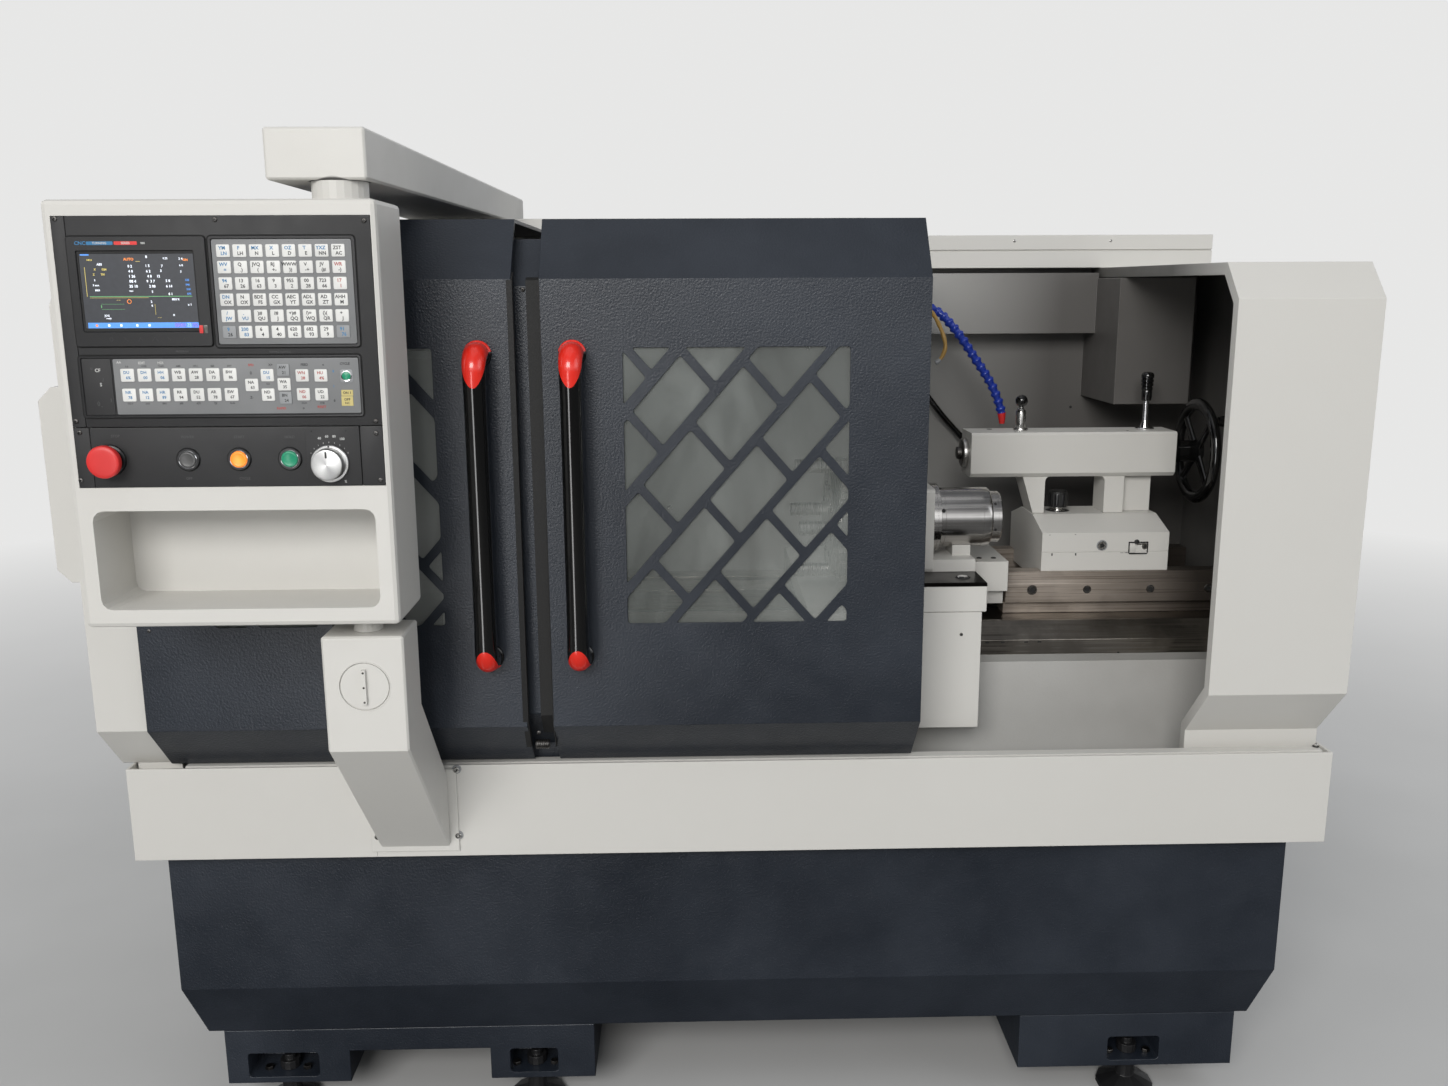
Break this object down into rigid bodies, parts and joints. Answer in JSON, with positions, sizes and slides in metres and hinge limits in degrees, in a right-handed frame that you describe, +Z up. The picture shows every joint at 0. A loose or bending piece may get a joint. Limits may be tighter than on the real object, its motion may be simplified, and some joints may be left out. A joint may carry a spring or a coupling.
{
  "type": "cnc turning lathe",
  "caption": "Flat-bed turning lathe with sliding lattice-window doors, swivelling operator pendant, tailstock and rear electrical cabinet",
  "frame": {"origin": "centre of the bounding box's bottom face, on the floor", "axes": "+X to the operator's right along the spindle, +Y to the rear, +Z up"},
  "size_m": [2.147, 1.3606, 1.6992],
  "materials": {
    "off_white_paint": "fine orange-peel powder coat",
    "navy_paint": "textured powder coat",
    "black_paint": "satin black",
    "ground_steel": "ground and turned",
    "machine_casting": "painted casting with ground ways",
    "panel_black": "fine matte",
    "clear_pane": "clear polycarbonate",
    "hose_blue": "satin moulded",
    "belt_rubber": "matte",
    "stop_red": "satin",
    "button_grey": "satin",
    "button_orange": "satin",
    "button_green": "satin",
    "knob_aluminium": "turned",
    "handle_black": "gloss black tube with red plastic ends"
  },
  "bodies": {
    "machine": {"back_wall": "off_white_paint", "base_cabinet": "navy_paint", "bed_casting": "machine_casting", "centre_mullion": "navy_paint", "chip_tray": "off_white_paint", "coolant_hose": "hose_blue", "coolant_pipe": "black_paint", "drive_belt": "belt_rubber", "electrical_cabinet": "off_white_paint", "end_cover_left": "off_white_paint", "end_cover_right": "off_white_paint", "foot_block_left": "navy_paint", "foot_block_right": "navy_paint", "headstock": "machine_casting", "levelling_foot_1": "black_paint", "levelling_foot_2": "black_paint", "levelling_foot_3": "black_paint", "levelling_foot_4": "black_paint", "levelling_foot_5": "black_paint", "levelling_foot_6": "black_paint", "overhead_duct": "off_white_paint", "pendant_arm": "off_white_paint", "rear_top_beam": "off_white_paint", "spindle_motor": "machine_casting", "tailstock_ways": "ground_steel", "z_motor": "black_paint"},
    "left_door_body": {"left_door": "navy_paint", "left_pane": "clear_pane", "left_handle": "handle_black"},
    "right_door_body": {"right_door": "navy_paint", "right_pane": "clear_pane", "right_handle": "handle_black"},
    "pendant_body": {"pendant_housing": "off_white_paint", "control_panel": "panel_black"},
    "estop_body": {"estop_button": "stop_red"},
    "grey_body": {"grey_button": "button_grey"},
    "orange_body": {"orange_button": "button_orange"},
    "green_body": {"green_button": "button_green"},
    "knob_body": {"override_knob": "knob_aluminium"},
    "spindle_body": {"spindle": "ground_steel", "spindle_pulley": "machine_casting", "chuck_body": "ground_steel"},
    "jaw_1_body": {"chuck_jaw_1": "ground_steel"},
    "jaw_2_body": {"chuck_jaw_2": "ground_steel"},
    "jaw_3_body": {"chuck_jaw_3": "ground_steel"},
    "motor_pulley_body": {"motor_pulley": "machine_casting"},
    "carriage_body": {"saddle": "machine_casting", "apron_cover": "off_white_paint"},
    "cross_slide_body": {"cross_slide": "machine_casting", "turret_housing": "off_white_paint", "turret_drive_cylinder": "ground_steel"},
    "turret_body": {"turret_disc": "ground_steel"},
    "tailstock_assembly": {"tailstock_base": "machine_casting", "tailstock_body": "machine_casting"},
    "quill_body": {"quill": "ground_steel"},
    "handwheel_body": {"tailstock_handwheel": "black_paint"},
    "quill_clamp_body": {"quill_clamp_lever": "ground_steel"},
    "tailstock_clamp_body": {"tailstock_clamp_lever": "black_paint"},
    "z_screw_body": {"z_ballscrew": "ground_steel"},
    "cabinet_door_body": {"cabinet_door": "off_white_paint"}
  },
  "joints": [
    {"name": "left_door_slide", "type": "slide", "parent": "machine", "child": "left_door_body", "axis": [-1, 0, 0], "range_m": [0, 0.3]},
    {"name": "right_door_slide", "type": "slide", "parent": "machine", "child": "right_door_body", "axis": [1, 0, 0], "range_m": [0, 0.7]},
    {"name": "pendant_swivel", "type": "hinge", "parent": "machine", "child": "pendant_body", "pos_m": [-0.493, -0.5818, 1.0253], "axis": [0, 0, 1], "range_deg": [0, 80]},
    {"name": "estop_press", "type": "slide", "parent": "pendant_body", "child": "estop_body", "axis": [0, 1, 0], "range_m": [0, 0.005], "stiffness_N_per_m": 300},
    {"name": "grey_press", "type": "slide", "parent": "pendant_body", "child": "grey_body", "axis": [0, 1, 0], "range_m": [0, 0.0035], "stiffness_N_per_m": 300},
    {"name": "orange_press", "type": "slide", "parent": "pendant_body", "child": "orange_body", "axis": [0, 1, 0], "range_m": [0, 0.0035], "stiffness_N_per_m": 300},
    {"name": "green_press", "type": "slide", "parent": "pendant_body", "child": "green_body", "axis": [0, 1, 0], "range_m": [0, 0.0035], "stiffness_N_per_m": 300},
    {"name": "override_turn", "type": "hinge", "parent": "pendant_body", "child": "knob_body", "pos_m": [-0.511, -0.6543, 1.255], "axis": [0, 1, 0], "range_deg": [-135, 135]},
    {"name": "spindle_turn", "type": "hinge", "parent": "machine", "child": "spindle_body", "pos_m": [-0.4675, 0.0397, 1.17], "axis": [1, 0, 0], "continuous": true},
    {"name": "jaw_1_slide", "type": "slide", "parent": "spindle_body", "child": "jaw_1_body", "axis": [0, 0, 1], "range_m": [-0.006, 0.01]},
    {"name": "jaw_2_slide", "type": "slide", "parent": "spindle_body", "child": "jaw_2_body", "axis": [0, -0.866, -0.5], "range_m": [-0.006, 0.01]},
    {"name": "jaw_3_slide", "type": "slide", "parent": "spindle_body", "child": "jaw_3_body", "axis": [0, 0.866, -0.5], "range_m": [-0.006, 0.01]},
    {"name": "motor_turn", "type": "hinge", "parent": "machine", "child": "motor_pulley_body", "pos_m": [-0.9115, 0.1697, 0.345], "axis": [1, 0, 0], "continuous": true},
    {"name": "carriage_slide", "type": "slide", "parent": "machine", "child": "carriage_body", "axis": [1, 0, 0], "range_m": [-0.45, 0]},
    {"name": "cross_feed", "type": "slide", "parent": "carriage_body", "child": "cross_slide_body", "axis": [0, 1, 0], "range_m": [-0.05, 0.09]},
    {"name": "turret_index", "type": "hinge", "parent": "cross_slide_body", "child": "turret_body", "pos_m": [0.2285, -0.1303, 1.075], "axis": [1, 0, 0], "continuous": true},
    {"name": "tailstock_slide", "type": "slide", "parent": "machine", "child": "tailstock_assembly", "axis": [1, 0, 0], "range_m": [-0.05, 0.018]},
    {"name": "quill_slide", "type": "slide", "parent": "tailstock_assembly", "child": "quill_body", "axis": [-1, 0, 0], "range_m": [0, 0.1]},
    {"name": "handwheel_turn", "type": "hinge", "parent": "tailstock_assembly", "child": "handwheel_body", "pos_m": [0.9685, 0.0397, 1.17], "axis": [1, 0, 0], "range_deg": [0, 7200]},
    {"name": "quill_clamp_turn", "type": "hinge", "parent": "tailstock_assembly", "child": "quill_clamp_body", "pos_m": [0.6205, 0.0397, 1.17], "axis": [0, 0, 1], "range_deg": [-60, 60]},
    {"name": "tailstock_clamp_turn", "type": "hinge", "parent": "tailstock_assembly", "child": "tailstock_clamp_body", "pos_m": [0.8635, 0.0397, 1.17], "axis": [0, 0, 1], "range_deg": [-60, 60]},
    {"name": "z_screw_turn", "type": "hinge", "parent": "machine", "child": "z_screw_body", "pos_m": [-0.4435, -0.0103, 0.815], "axis": [1, 0, 0], "range_deg": [-27000, 0]},
    {"name": "cabinet_door_hinge", "type": "hinge", "parent": "machine", "child": "cabinet_door_body", "pos_m": [-0.6375, 0.6553, 0.7043], "axis": [0, 0, 1], "range_deg": [0, 110]}
  ],
  "couplings": [
    {"joint": "jaw_2_slide", "follows": "jaw_1_slide", "ratio": 1},
    {"joint": "jaw_3_slide", "follows": "jaw_1_slide", "ratio": 1},
    {"joint": "motor_turn", "follows": "spindle_turn", "ratio": 1.5},
    {"joint": "handwheel_turn", "follows": "quill_slide", "rad_per_m": 1256},
    {"joint": "z_screw_turn", "follows": "carriage_slide", "rad_per_m": 1047}
  ]
}
